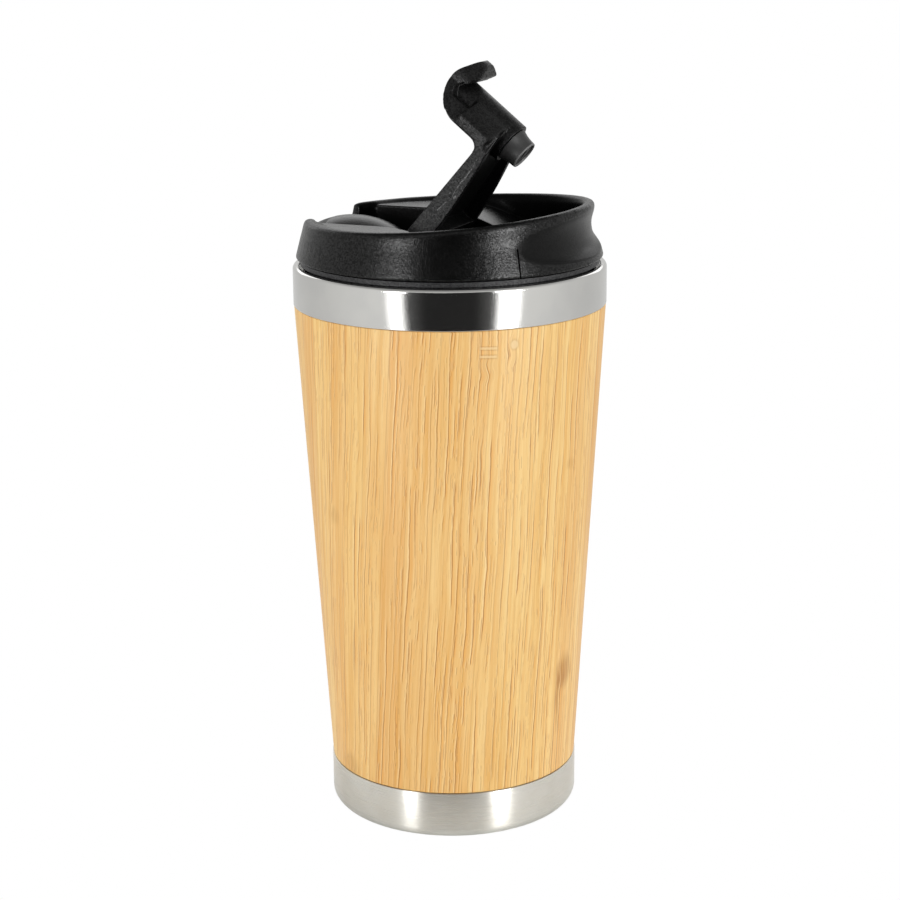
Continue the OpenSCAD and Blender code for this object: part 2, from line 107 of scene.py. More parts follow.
class CupColours(bpy.types.PropertyGroup):
    """Colours of the cup's materials"""

    bamboo_pale: tint("Bamboo, pale", "#F0CD8A", "Pale strips of the bamboo")
    bamboo_deep: tint("Bamboo, deep", "#E0A956", "Deeper strips of the bamboo")
    bamboo_blush: tint("Bamboo, blush", "#E0B084", "Warm cast of some strips")
    bamboo_light: tint("Bamboo, light", "#F4DBA6", "Light line beside each fibre")
    bamboo_fibre: tint("Bamboo fibre", "#A2601F", "Dark fibre bundles in the bamboo")
    bamboo_amber: tint("Bamboo, amber", "#E79A3C", "Amber glow along crowded fibres")
    bamboo_knot: tint("Bamboo knot", "#A9702F", "Stain round a knot")
    steel: tint("Steel", "#D6D5D2", "Polished stainless steel")
    base_steel: tint("Base steel", "#DCDBD6", "Brushed stainless steel of the base")
    plastic: tint("Lid plastic", "#060606", "Black moulded plastic of the lid and lever")
    neck: tint("Neck plastic", "#242426", "Dark grey plastic of the neck")
    silicone: tint("Silicone", "#282828", "Black silicone of the stopper and gasket")


def sizes():
    return bpy.context.scene.cup_sizes


def colours():
    return bpy.context.scene.cup_colours


# ---------------------------------------------------------------- shading

# The setting that a kind of shader node takes after its dot
CHOICES = {"Math": "operation", "VectorMath": "operation", "MapRange": "interpolation_type", "Mix": "data_type"}


def feed(tree, node, *inputs, **values):
    """Fills a shader node. Plain values go to its first inputs in turn, lower-case names are its settings,
    capitalised names are inputs, and _6 is input 6. A value is a constant or the socket that feeds the input."""
    for key, value in values.items():
        if key[0].islower():
            setattr(node, key, value)
    sockets = list(zip(node.inputs, inputs))
    for key, value in values.items():
        if key[0] == "_":
            sockets.append((node.inputs[int(key[1:])], value))
        elif key[0].isupper():
            sockets.append((node.inputs[key.replace("_", " ")], value))
    for socket, value in sockets:
        if isinstance(value, bpy.types.NodeSocket):
            tree.links.new(value, socket)
        else:
            socket.default_value = value


def put(tree, kind, *inputs, out=0, **values):
    """Adds one shader node and fills it. Gives its output of that number or name, or all of them for None."""
    kind, _, choice = kind.partition(".")
    node = tree.nodes.new("ShaderNode" + kind)
    if choice:
        setattr(node, CHOICES[kind], choice)
    feed(tree, node, *inputs, **values)
    return node.outputs if out is None else node.outputs[out]


def surface_mm(tree):
    """The piece's own coordinates in millimetres."""
    return put(tree, "VectorMath.SCALE", put(tree, "TexCoord", out="Object"), Scale=1 / MM)


def root_sum(tree, a, b):
    """The root of the sum of two squares."""
    return put(tree, "Math.SQRT", put(tree, "Math.MULTIPLY_ADD", a, a, put(tree, "Math.MULTIPLY", b, b)))


def faced(tree, x, y, azimuth):
    """How far a place lies ahead and aside of the cup's axis, for somebody who looks out at an azimuth."""
    turn = math.radians(azimuth)
    sides = []
    for share_x, share_y in ((math.cos(turn), math.sin(turn)), (-math.sin(turn), math.cos(turn))):
        along_y = put(tree, "Math.MULTIPLY", y, share_y)
        sides.append(put(tree, "Math.ADD", put(tree, "Math.MULTIPLY", x, share_x), along_y))
    return sides


def shaded(name, slot):
    """A new material with its tree, its principled shader and the record slot it shows."""
    material = bpy.data.materials.new(name)
    material.use_nodes = True
    material["slot"] = slot
    tree = material.node_tree
    return material, tree, tree.nodes["Principled BSDF"]


# ---------------------------------------------------------------- bamboo

# Places on the sleeve are in millimetres on its unrolled sheet: round the cup from the grain's side, and up the cone

# Knots: place, half width, half height, stain, sideways push on the fibres
KNOTS = [
    (1.4, 625.5, 3.6, 4.6, 0.9, 0.25),
    (-1.6, 619.5, 1.1, 5.0, 0.75, 0.1),
    (-0.9, 611.5, 0.7, 4.0, 0.6, 0.1),
    (-24.6, 722.6, 1.5, 4.6, 0.12, 0.5),
    (-31.4, 718.6, 2.6, 3.6, 0.1, 0.45),
    (-76.8, 669.2, 2.4, 2.4, 0.35, 0.1),
    (-69.0, 592.6, 3.2, 3.8, 0.5, 0.25),
    (-1.6, 688.4, 1.8, 1.6, 0.3, 0.1),
    (38.0, 702.0, 2.4, 4.0, 0.7, 0.3),
    (66.0, 632.0, 3.0, 5.0, 0.8, 0.3),
    (94.0, 676.0, 2.2, 4.0, 0.6, 0.2),
]

# Pale cross bars left by a joint of the cane: place, half width, half height
BARS = [(-31.6, 724.2, 2.3, 0.32), (-31.6, 721.9, 2.3, 0.32), (66.0, 638.0, 2.6, 0.4)]

# Pale round eyes of buds: place, half width, half height
EYES = [(-24.5, 725.0, 1.0, 1.2), (66.5, 626.0, 1.2, 1.4)]

# Layers of fibre hairlines: distance apart, share of the fibre width, length of a dash, share of gaps, seed
FIBRES = [(2.4, 1.0, 30.0, 0.42, 3.0), (1.1, 0.85, 13.0, 0.48, 31.0), (0.62, 0.75, 4.5, 0.5, 57.0)]


def oval(tree, x, y, half_w, half_h, x0, y0, soft):
    """1 inside a soft-edged oval about (x0, y0), 0 outside."""
    share_x = put(tree, "Math.DIVIDE", put(tree, "Math.SUBTRACT", x, x0), half_w)
    share_y = put(tree, "Math.DIVIDE", put(tree, "Math.SUBTRACT", y, y0), half_h)
    return put(tree, "MapRange.SMOOTHSTEP", root_sum(tree, share_x, share_y), 1 + soft, 1 - soft)


def oblong(tree, x, y, half_w, half_h, x0, y0, soft):
    """1 inside a soft-edged rectangle about (x0, y0), 0 outside."""
    sides = []
    for place, middle, half in ((x, x0, half_w), (y, y0, half_h)):
        off = put(tree, "Math.ABSOLUTE", put(tree, "Math.SUBTRACT", place, middle))
        sides.append(put(tree, "MapRange.SMOOTHSTEP", off, half * (1 + soft), half * (1 - soft)))
    return put(tree, "Math.MULTIPLY", *sides)


def streaky(tree, x, y, across, along, seed, detail=2.0, roughness=0.5):
    """Noise with its own number of cells per millimetre across and along the grain."""
    along_y = put(tree, "Math.MULTIPLY", y, along)
    place = put(tree, "CombineXYZ", put(tree, "Math.MULTIPLY", x, across), along_y, seed)
    return put(tree, "TexNoise", place, Scale=1.0, Detail=detail, Roughness=roughness)


def unrolled(tree):
    """Place on the sleeve's sheet. The sheet is rolled into a cone, so its grain is straight only when unrolled."""
    foot_r, top_r, low_z, high_z = cone_span("bamboo_sleeve")
    sine = math.sin(math.atan((top_r - foot_r) / (high_z - low_z)))
    x, y, _ = put(tree, "SeparateXYZ", surface_mm(tree), out=None)
    ahead, aside = faced(tree, x, y, FACING)
    angle = put(tree, "Math.ARCTAN2", aside, ahead)
    turn = put(tree, "Math.MULTIPLY", put(tree, "Math.SUBTRACT", angle, sizes().grain_angle), sine)
    reach = put(tree, "Math.DIVIDE", root_sum(tree, ahead, aside), sine)
    return [put(tree, "Math.MULTIPLY", reach, put(tree, f"Math.{side}", turn)) for side in ("SINE", "COSINE")]


def knot_marks(tree, x, y):
    """Stain of the knots, and the sideways push they give the fibres."""
    stain = shift = 0.0
    for index, (x0, y0, half_w, half_h, strength, push) in enumerate(KNOTS):
        near = oval(tree, x, y, half_w, half_h, x0, y0, 0.6)
        stain = put(tree, "Math.MULTIPLY_ADD", near, strength, stain)
        turns = 3.0 / half_h
        wave = put(tree, "Math.SINE", put(tree, "Math.MULTIPLY_ADD", y, turns, index * 1.7 - y0 * turns))
        bend = put(tree, "Math.MULTIPLY", put(tree, "Math.MULTIPLY", near, wave), push)
        shift = put(tree, "Math.ADD", shift, bend)
    return stain, shift


def joint_marks(tree, x, y):
    """The pale bars and eyes, and the dark line round each."""
    pale = edges = 0.0
    for x0, y0, half_w, half_h in BARS:
        pale = put(tree, "Math.MAXIMUM", pale, oblong(tree, x, y, half_w, half_h, x0, y0, 0.2))
        edges = put(tree, "Math.MAXIMUM", edges, oblong(tree, x, y, half_w * 1.02, half_h * 2.0, x0, y0, 0.3))
    for x0, y0, half_w, half_h in EYES:
        pale = put(tree, "Math.MAXIMUM", pale, oval(tree, x, y, half_w, half_h, x0, y0, 0.25))
        edges = put(tree, "Math.MAXIMUM", edges, oval(tree, x, y, half_w * 1.3, half_h * 1.3, x0, y0, 0.3))
    return pale, edges


def fibre_layer(tree, x, y, pitch, line_w, dash, gap_share, seed):
    """Dark hairlines along the grain, one in each pitch of width, broken into dashes; with them the light line
    beside each and the amber glow round it. All lengths in millimetres."""
    column = put(tree, "Math.DIVIDE", x, pitch)
    index = put(tree, "Math.FLOOR", column)
    chance = put(tree, "TexWhiteNoise", W=put(tree, "Math.ADD", index, seed), noise_dimensions="1D", out="Color")
    place, start, depth = put(tree, "SeparateColor", chance, out=None)
    reach = put(tree, "Math.MULTIPLY_ADD", start, 40.0, put(tree, "Math.DIVIDE", y, dash))
    along = put(tree, "CombineXYZ", put(tree, "Math.MULTIPLY", index, 13.7), reach, seed)
    dashes = put(tree, "TexNoise", along, Scale=1.0, Roughness=0.55)
    present = put(tree, "MapRange.SMOOTHSTEP", dashes, gap_share, gap_share + 0.1)
    strength = put(tree, "Math.MULTIPLY", present, put(tree, "Math.MULTIPLY_ADD", depth, 0.7, 0.3))
    middle = put(tree, "Math.MULTIPLY_ADD", place, 0.5, 0.25)
    offset = put(tree, "Math.SUBTRACT", put(tree, "Math.SUBTRACT", column, index), middle)
    half = 0.5 * line_w / pitch
    parts = []
    # Sideways shift, outer and inner edge of the line, the light beside it and the glow, in half line widths
    for shift, outer, inner in ((0.0, 1.5, 0.5), (2.6, 2.2, 0.4), (-2.0, 7.0, 1.0)):
        away = put(tree, "Math.ABSOLUTE", put(tree, "Math.ADD", offset, half * shift))
        near = put(tree, "MapRange.SMOOTHSTEP", away, half * outer, half * inner)
        parts.append(put(tree, "Math.MULTIPLY", near, strength))
    return parts


def bamboo_material():
    """Side-pressed moso bamboo, sanded and sealed with thin satin lacquer: pale strips glued edge to edge,
    long brown fibre hairlines along the grain, a few knots, and a soft sheen."""
    material, tree, shader = shaded("Bamboo", "bamboo")
    shades = colours()
    x, y = unrolled(tree)
    stain, shift = knot_marks(tree, x, y)
    pale_marks, edges = joint_marks(tree, x, y)

    # Strips of uneven width, each with its own tone
    drift = streaky(tree, x, y, 0.07, 0.0014, 0.21, 1.0)
    strip = put(tree, "Math.DIVIDE", put(tree, "Math.MULTIPLY_ADD", drift, 5.0, x), sizes().strip_w / MM)
    index = put(tree, "Math.FLOOR", strip)
    share = put(tree, "Math.SUBTRACT", put(tree, "Math.SUBTRACT", strip, index), 0.5)
    seam = put(tree, "MapRange.SMOOTHSTEP", put(tree, "Math.ABSOLUTE", share), 0.475, 0.5)
    chance = put(tree, "TexWhiteNoise", W=index, noise_dimensions="1D", out=None)
    warmth = put(tree, "SeparateColor", chance["Color"])
    seed = put(tree, "Math.MULTIPLY", index, 7.3)

    # The grain wanders a little, and knots push it aside
    slow = streaky(tree, x, y, 0.1, 0.022, 0.0)
    quick = streaky(tree, x, y, 0.5, 0.3, 5.0)
    grain_x = put(tree, "Math.MULTIPLY_ADD", slow, 3.0, put(tree, "Math.ADD", x, shift))
    grain_x = put(tree, "Math.MULTIPLY_ADD", quick, 0.35, grain_x)
    bands = streaky(tree, grain_x, y, 0.75, 0.014, seed, 2.0, 0.55)
    streaks = streaky(tree, grain_x, y, 2.6, 0.035, seed, 2.0, 0.55)

    # Three layers of hairlines; the two finer ones crowd together in places
    clusters = streaky(tree, x, y, 0.3, 0.025, seed, 1.0)
    crowd = put(tree, "MapRange.SMOOTHSTEP", clusters, 0.35, 0.6, 0.25, 1.0)
    long, mid, fine = (
        fibre_layer(tree, grain_x, y, pitch, sizes().fibre_w / MM * width_share, dash, gap_share, layer_seed)
        for pitch, width_share, dash, gap_share, layer_seed in FIBRES
    )
    lines = []
    for part, mid_share in ((0, 0.9), (1, 1.0)):
        mid_part = put(tree, "Math.MULTIPLY", mid[part], mid_share)
        small = put(tree, "Math.MAXIMUM", mid_part, put(tree, "Math.MULTIPLY", fine[part], 0.6))
        lines.append(put(tree, "Math.MAXIMUM", long[part], put(tree, "Math.MULTIPLY", small, crowd)))
    dark, light = lines
    glow = put(tree, "Math.MAXIMUM", long[2], put(tree, "Math.MULTIPLY", mid[2], crowd))

    # Tone of each strip and band, then the washes over it: where, how strong and which colour
    band_tone = put(tree, "Math.MULTIPLY_ADD", bands, 1.9, -0.7)
    tone = put(tree, "Math.SUBTRACT", put(tree, "Math.MULTIPLY_ADD", chance["Value"], 0.5, band_tone), 0.35)
    tone = put(tree, "Math.MULTIPLY_ADD", streaks, 0.7, tone)
    colour = put(tree, "Mix.RGBA", tone, _6=(*shades.bamboo_pale, 1.0), _7=(*shades.bamboo_deep, 1.0), out=2)
    stain_in_grain = put(tree, "MapRange.SMOOTHSTEP", streaks, 0.3, 0.62, 0.1, 0.85)
    washes = (
        (warmth, 0.22, shades.bamboo_blush),
        (glow, 0.3, shades.bamboo_amber),
        (light, 0.7, shades.bamboo_light),
        (dark, 0.85, shades.bamboo_fibre),
        (seam, 0.3, shades.bamboo_fibre),
        (put(tree, "Math.MULTIPLY", stain, stain_in_grain), 1.0, shades.bamboo_knot),
        (edges, 0.28, shades.bamboo_fibre),
        (pale_marks, 0.5, shades.bamboo_light),
    )
    for where, strength, shade in washes:
        amount = put(tree, "Math.MULTIPLY", where, strength)
        colour = put(tree, "Mix.RGBA", amount, _6=colour, _7=(*shade, 1.0), out=2)
    height = put(tree, "Math.SUBTRACT", 1.0, dark)
    feed(
        tree,
        shader,
        Base_Color=colour,
        Roughness=put(tree, "Math.MULTIPLY_ADD", streaks, 0.16, 0.36),
        Specular_IOR_Level=0.3,
        Normal=put(tree, "Bump", Height=height, Distance=0.03 * MM, Strength=0.25),
    )
    return material


# ---------------------------------------------------------------- steel


def polished_material():
    """Stainless sheet, buffed: a mirror whose pin-prick haze and hair lines round the band break up the edges of
    what it reflects."""
    material, tree, shader = shaded("PolishedSteel", "steel_collar")
    place = surface_mm(tree)
    rings = put(tree, "VectorMath.MULTIPLY", place, (0.3, 0.3, 6.0))
    hair = put(tree, "TexNoise", rings, Scale=1.0, Detail=3.0, Roughness=0.7)
    pits = put(tree, "TexNoise", place, Scale=1.8, Detail=3.0, Roughness=0.75)
    haze = put(tree, "TexNoise", place, Scale=0.09)
    dull = put(tree, "MapRange.SMOOTHSTEP", haze, 0.35, 0.65, 0.0, 0.25)
    height = put(tree, "Math.MULTIPLY_ADD", hair, 0.5, pits)
    feed(
        tree,
        shader,
        Base_Color=put(tree, "Mix.RGBA", dull, _6=(*colours().steel, 1.0), _7=rgb("#C4C4C4"), out=2),
        Metallic=1.0,
        Roughness=put(tree, "Math.MULTIPLY_ADD", pits, 0.11, 0.03),
        Normal=put(tree, "Bump", Height=height, Distance=0.02 * MM, Strength=0.7),
    )
    return material


def brushed_material(name, slot, colour, roughness):
    """Stainless sheet, brushed: fine lines round the piece smear reflections up and down it, so lamps show as
    soft upright bands."""
    material, tree, shader = shaded(name, slot)
    place = surface_mm(tree)
    rings = put(tree, "VectorMath.MULTIPLY", place, (0.05, 0.05, 9.0))
    lines = put(tree, "TexNoise", rings, Scale=1.0, Detail=3.0, Roughness=0.65)
    mottle = put(tree, "TexNoise", place, Scale=0.12, Detail=3.0)
    dull = put(tree, "MapRange.SMOOTHSTEP", mottle, 0.3, 0.7, 0.0, 0.3)
    feed(
        tree,
        shader,
        Base_Color=put(tree, "Mix.RGBA", dull, _6=(*colour, 1.0), _7=rgb("#C6C2B8"), out=2),
        Metallic=1.0,
        Roughness=put(tree, "Math.MULTIPLY_ADD", lines, 0.08, roughness - 0.04),
        Anisotropic=0.97,
        Anisotropic_Rotation=0.25,
        Tangent=put(tree, "Tangent", direction_type="RADIAL", axis="Z"),
        Normal=put(tree, "Bump", Height=lines, Distance=0.004 * MM, Strength=0.3),
    )
    return material


# ---------------------------------------------------------------- plastic and rubber

# Size in millimetres of the facets of the moulded grain that sparkle
SPARK_MM = 0.36
# Ring that the scoop is cut with: its middle in X and Z, its radius to the middle of the tube, and the tube's radius
SCOOP = (-12.85, 170.0, 58.9, 7.3)
# Ramps of the lid's masks, from none to full: radius of the polished bowl, radii of the wall inside the rim from
# both sides, height of the deck under that wall, and radius of the rim's top
POLISHED_R, WALL_INNER_R, WALL_OUTER_R = (38.6, 38.2), (35.4, 35.9), (37.9, 37.4)
DECK_Z, TOP_R = (165.6, 166.4), (36.4, 36.8)
# Half the angle, in degrees, between the tool's parting lines, and the height at which they end under the scoop
PARTING_ANGLE, PARTING_TOP_Z = 41.3, 169.3
# Scratches on the lever's near side: both ends in X and Z, half width and strength
SCRATCHES = [
    (12.0, 187.4, 8.1, 181.9, 0.16, 0.45),
    (8.1, 181.9, 7.2, 180.2, 0.1, 0.2),
    (5.4, 178.5, 3.2, 176.4, 0.14, 0.4),
    (7.7, 179.8, 7.9, 179.9, 0.3, 0.5),
    (6.3, 180.9, 6.4, 181.1, 0.18, 0.35),
    (13.6, 190.4, 12.6, 188.2, 0.1, 0.25),
]


def moulded_material(
    name, slot, colour, roughness, grain_mm, depth_mm,
    plain=None, seams=None, wear=0.12, matt=None, sheen=0.42, marks=None,
):
    """Polypropylene, injection-moulded in a spark-eroded tool: near black, with a fine even grain that sparkles where a
    lamp catches it. plain returns a 0 to 1 mask of polished zones, seams one of the tool's parting lines and matt one
    of zones whose sheen is cut down to paint shade; sheen is the specular level and marks a mask of pale scratches."""
    material, tree, shader = shaded(name, slot)
    place = surface_mm(tree)
    smooth = plain(tree, place) if plain else 0.0
    rough = put(tree, "Math.SUBTRACT", 1.0, put(tree, "Math.MULTIPLY", smooth, 0.85))
    cells = put(tree, "TexVoronoi", Vector=place, Scale=1.0 / grain_mm, out="Distance")
    fine = put(tree, "TexNoise", place, Scale=1.6 / grain_mm, Roughness=0.6)
    grain = put(tree, "Math.MULTIPLY", put(tree, "Math.MULTIPLY_ADD", cells, 0.6, fine), rough)
    patches = put(tree, "TexNoise", place, Scale=0.08)

    # Specks and hair scratches of wear
    dots = put(tree, "TexNoise", place, Scale=1.9, Detail=3.0, Roughness=0.75)
    hairs = put(tree, "Mapping", Vector=place, Rotation=(0.4, 0.9, 0.3), Scale=(0.35, 4.0, 0.35))
    streaks = put(tree, "TexNoise", hairs, Scale=1.0, Detail=3.0, Roughness=0.7)
    specks = put(tree, "MapRange.SMOOTHSTEP", dots, 0.69, 0.78)
    scratches = put(tree, "MapRange.SMOOTHSTEP", streaks, 0.7, 0.76)
    worn = put(tree, "Math.MULTIPLY", put(tree, "Math.MAXIMUM", specks, scratches), wear)
    if marks:
        worn = put(tree, "Math.MAXIMUM", worn, marks(tree, place))
    paint = put(tree, "Mix.RGBA", worn, _6=(*colour, 1.0), _7=rgb("#8C8C8C"), out=2)

    # Each facet of the grain faces its own way, so it is brighter or duller than its neighbours in a highlight
    facets = put(tree, "VectorMath.SNAP", place, (SPARK_MM, SPARK_MM, SPARK_MM))
    spark = put(tree, "Math.MULTIPLY", put(tree, "TexWhiteNoise", facets, out="Value"), rough)
    level = put(tree, "Math.MULTIPLY", put(tree, "Math.MULTIPLY_ADD", spark, 1.1, 0.5), sheen)
    # Painted shade: where this mask is full, the sheen drops to 0.15 of its level, so the zone darkens as if shade fell
    # on it
    if matt:
        kept = put(tree, "MapRange.SMOOTHSTEP", matt(tree, place), 0.0, 1.0, 1.0, 0.15)
        level = put(tree, "Math.MULTIPLY", level, kept)
    if seams:
        line = seams(tree, place)
        paint = put(tree, "Mix.RGBA", line, _6=paint, _7=rgb("#010101"), out=2)
        level = put(tree, "Math.MULTIPLY", level, put(tree, "Math.SUBTRACT", 1.0, line))
    feed(
        tree,
        shader,
        Base_Color=paint,
        Roughness=put(tree, "Math.MULTIPLY_ADD", patches, 0.12, roughness - 0.06),
        Specular_IOR_Level=level,
        Normal=put(tree, "Bump", Height=grain, Distance=depth_mm * MM, Strength=0.9),
    )
    return material


def scoop_mask(tree, place):
    """The scoop under the drinking edge and the inside of the bowl, which the tool leaves smooth."""
    x, y, z = put(tree, "SeparateXYZ", place, out=None)
    middle_x, middle_z, ring, tube = SCOOP
    reach = root_sum(tree, put(tree, "Math.SUBTRACT", x, middle_x), y)
    off_ring = put(tree, "Math.SUBTRACT", reach, ring)
    depth = root_sum(tree, off_ring, put(tree, "Math.SUBTRACT", z, middle_z))
    scoop = put(tree, "MapRange.SMOOTHSTEP", depth, tube + 0.45, tube + 0.2)
    bowl = put(tree, "MapRange.SMOOTHSTEP", root_sum(tree, x, y), *POLISHED_R, 0.0, 0.8)
    return put(tree, "Math.MAXIMUM", scoop, bowl)


def bowl_shade_and_rim_top_mask(tree, place):
    """The wall inside the rim, where the sheen is cut down to paint the shade that falls inside the bowl, and the
    up-facing top of the rim, whose sheen is cut down too.
    """
    x, y, z = put(tree, "SeparateXYZ", place, out=None)
    radius = root_sum(tree, x, y)
    inner = put(tree, "MapRange.SMOOTHSTEP", radius, *WALL_INNER_R)
    outer = put(tree, "MapRange.SMOOTHSTEP", radius, *WALL_OUTER_R)
    above_deck = put(tree, "MapRange.SMOOTHSTEP", z, *DECK_Z)
    wall = put(tree, "Math.MULTIPLY", put(tree, "Math.MULTIPLY", inner, outer), above_deck)
    level = put(tree, "SeparateXYZ", put(tree, "NewGeometry", out="True Normal"), out="Z")
    flat = put(tree, "MapRange.SMOOTHSTEP", level, 0.5, 0.85, 0.0, 0.75)
    top = put(tree, "Math.MULTIPLY", flat, put(tree, "MapRange.SMOOTHSTEP", radius, *TOP_R))
    return put(tree, "Math.MAXIMUM", wall, top)


def parting_mask(tree, place):
    """Hair-thin parting line of the tool on each side of the skirt, below the ends of the scoop."""
    x, y, z = put(tree, "SeparateXYZ", place, out=None)
    angle = put(tree, "Math.ARCTAN2", put(tree, "Math.ABSOLUTE", y), x)
    off = put(tree, "Math.ABSOLUTE", put(tree, "Math.SUBTRACT", angle, math.radians(PARTING_ANGLE)))
    line = put(tree, "MapRange.SMOOTHSTEP", off, math.radians(0.42), math.radians(0.22))
    below = put(tree, "MapRange.SMOOTHSTEP", z, PARTING_TOP_Z, PARTING_TOP_Z - 0.4)
    return put(tree, "Math.MULTIPLY", line, below)


def scratch_mask(tree, place):
    """Pale scratches and nicks worn into the lever's near side."""
    x, y, z = put(tree, "SeparateXYZ", place, out=None)
    wobble = put(tree, "TexNoise", place, Scale=0.9)
    x = put(tree, "Math.ADD", x, put(tree, "Math.MULTIPLY_ADD", wobble, 0.9, -0.45))
    breaks = put(tree, "TexNoise", place, Scale=2.2, Roughness=0.7)
    gaps = put(tree, "MapRange.SMOOTHSTEP", breaks, 0.4, 0.52, 0.15, 1.0)
    marks = 0.0
    for x0, z0, x1, z1, half, strength in SCRATCHES:
        run = math.hypot(x1 - x0, z1 - z0)
        unit_x, unit_z = (x1 - x0) / run, (z1 - z0) / run
        dx, dz = put(tree, "Math.SUBTRACT", x, x0), put(tree, "Math.SUBTRACT", z, z0)
        along = put(tree, "Math.MULTIPLY_ADD", dx, unit_x, put(tree, "Math.MULTIPLY", dz, unit_z))
        across = put(tree, "Math.MULTIPLY_ADD", dx, -unit_z, put(tree, "Math.MULTIPLY", dz, unit_x))
        before = put(tree, "Math.MULTIPLY", along, -1.0)
        past = put(tree, "Math.MAXIMUM", put(tree, "Math.SUBTRACT", along, run), before)
        far = put(tree, "Math.MAXIMUM", put(tree, "Math.ABSOLUTE", across), past)
        mark = put(tree, "MapRange.SMOOTHSTEP", far, half * 1.5, half * 0.6)
        marks = put(tree, "Math.MAXIMUM", marks, put(tree, "Math.MULTIPLY", mark, strength))
    near_side = put(tree, "MapRange.SMOOTHSTEP", y, -9.5, -10.5)
    return put(tree, "Math.MULTIPLY", put(tree, "Math.MULTIPLY", marks, gaps), near_side)


def tip_height(tree, place):
    """Distance in millimetres above the stopper's shoulder, along the post."""
    tilt = math.radians(OPEN_ANGLE)
    low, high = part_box("hinge_pin")
    hinge = (low + high) / 2 / MM
    x, _, z = put(tree, "SeparateXYZ", place, out=None)
    from_x = put(tree, "Math.MULTIPLY", put(tree, "Math.SUBTRACT", x, hinge.x), -math.sin(tilt))
    from_z = put(tree, "Math.MULTIPLY", put(tree, "Math.SUBTRACT", z, hinge.z), math.cos(tilt))
    return put(tree, "Math.ADD", put(tree, "Math.ADD", from_x, from_z), hinge.z - SHOULDER_Z)


def rubber_material():
    """Food-grade silicone, moulded: soft black, slightly dusty, with a low broad sheen, and the ring round its tip
    coloured pale.
    """
    material, tree, shader = shaded("Silicone", "silicone")
    place = surface_mm(tree)
    dust = put(tree, "TexNoise", place, Scale=1.6, Detail=4.0, Roughness=0.7)
    dusty = put(tree, "MapRange.SMOOTHSTEP", dust, 0.55, 0.75, 0.0, 0.08)
    # The ring round the stopper's tip is coloured pale
    pale_tip_ring = put(tree, "MapRange.SMOOTHSTEP", tip_height(tree, place), -4.45, -4.75, 0.0, 0.55)
    pale = put(tree, "Math.MAXIMUM", dusty, pale_tip_ring)
    feed(
        tree,
        shader,
        Base_Color=put(tree, "Mix.RGBA", pale, _6=(*colours().silicone, 1.0), _7=rgb("#8A8A8A"), out=2),
        Roughness=put(tree, "Math.MULTIPLY_ADD", dust, 0.15, 0.42),
    )
    return material


MATERIALS = {}


def material(key):
    """Each material, made once."""
    black, grey = colours().plastic, colours().neck
    rubber, base_steel = colours().silicone, colours().base_steel
    makers = {
        "bamboo": bamboo_material,
        "polished": polished_material,
        "base": lambda: brushed_material("BrushedBase", "steel_base", base_steel, 0.28),
        "liner": lambda: brushed_material("LinerSteel", "steel_liner", base_steel, 0.36),
        "pin": lambda: brushed_material("PinSteel", "steel_pin", base_steel, 0.3),
        "lid": lambda: moulded_material(
            "LidPlastic", "lid_plastic", black, 0.26, 0.5, 0.04, scoop_mask, parting_mask, 0.05, bowl_shade_and_rim_top_mask, 0.24
        ),
        "lever": lambda: moulded_material(
            "LeverPlastic", "lid_plastic", black, 0.4, 0.4, 0.04, wear=0.4, sheen=0.24, marks=scratch_mask
        ),
        "neck": lambda: moulded_material("NeckPlastic", "neck_plastic", grey, 0.5, 0.3, 0.015),
        "inner": lambda: moulded_material("InnerPlastic", "shell_plastic", grey, 0.5, 0.3, 0.015),
        "silicone": rubber_material,
        "pad": lambda: moulded_material("FootPad", "pad", rubber, 0.6, 0.4, 0.03),
    }
    if key not in MATERIALS:
        MATERIALS[key] = makers[key]()
    return MATERIALS[key]


# ---------------------------------------------------------------- mesh helpers

# Edges sharper than this angle, in degrees, stay sharp
SHARP_ANGLE = 35.0
# Vertices closer than this, in metres, are joined: those of a turned piece, and those of a CAD node's facets
TURNED_MERGE, FACET_MERGE = 1e-7, 2e-6


def arc(x, z, r, start, end, steps=6):
    """Points in millimetres of an arc about (x, z), angles in degrees."""
    return [
        (x + r * math.cos(math.radians(a)), z + r * math.sin(math.radians(a)))
        for a in (start + (end - start) * i / steps for i in range(steps + 1))
    ]


def finished(bm, name):
    """An object from a bmesh, smooth apart from its sharp edges."""
    bmesh.ops.recalc_face_normals(bm, faces=bm.faces)
    mesh = bpy.data.meshes.new(name)
    bm.to_mesh(mesh)
    bm.free()
    mesh.shade_smooth()
    mesh.set_sharp_from_angle(angle=math.radians(SHARP_ANGLE))
    obj = bpy.data.objects.new(name, mesh)
    bpy.context.scene.collection.objects.link(obj)
    return obj


def lathed(name, outline):
    """A body turned about Z from a closed outline of (radius, height) points in millimetres."""
    steps = sizes().segments
    bm = bmesh.new()
    rings = []
    for i in range(steps):
        a = 2 * math.pi * i / steps
        rings.append([bm.verts.new((r * MM * math.cos(a), r * MM * math.sin(a), z * MM)) for r, z in outline])
    count = len(outline)
    for i in range(steps):
        this, following = rings[i], rings[(i + 1) % steps]
        for k in range(count):
            m = (k + 1) % count
            if outline[k][0] < 1e-6 and outline[m][0] < 1e-6:
                continue
            bm.faces.new((this[k], this[m], following[m], following[k]))
    bmesh.ops.remove_doubles(bm, verts=bm.verts, dist=TURNED_MERGE)
    return finished(bm, name)


def prism(name, outline, low, high):
    """An upright block from its plan in millimetres."""
    bm = bmesh.new()
    foot = [bm.verts.new((x * MM, y * MM, low * MM)) for x, y in outline]
    top = [bm.verts.new((x * MM, y * MM, high * MM)) for x, y in outline]
    bm.faces.new(foot)
    bm.faces.new(top)
    for i in range(len(outline)):
        k = (i + 1) % len(outline)
        bm.faces.new((foot[i], foot[k], top[k], top[i]))
    return finished(bm, name)


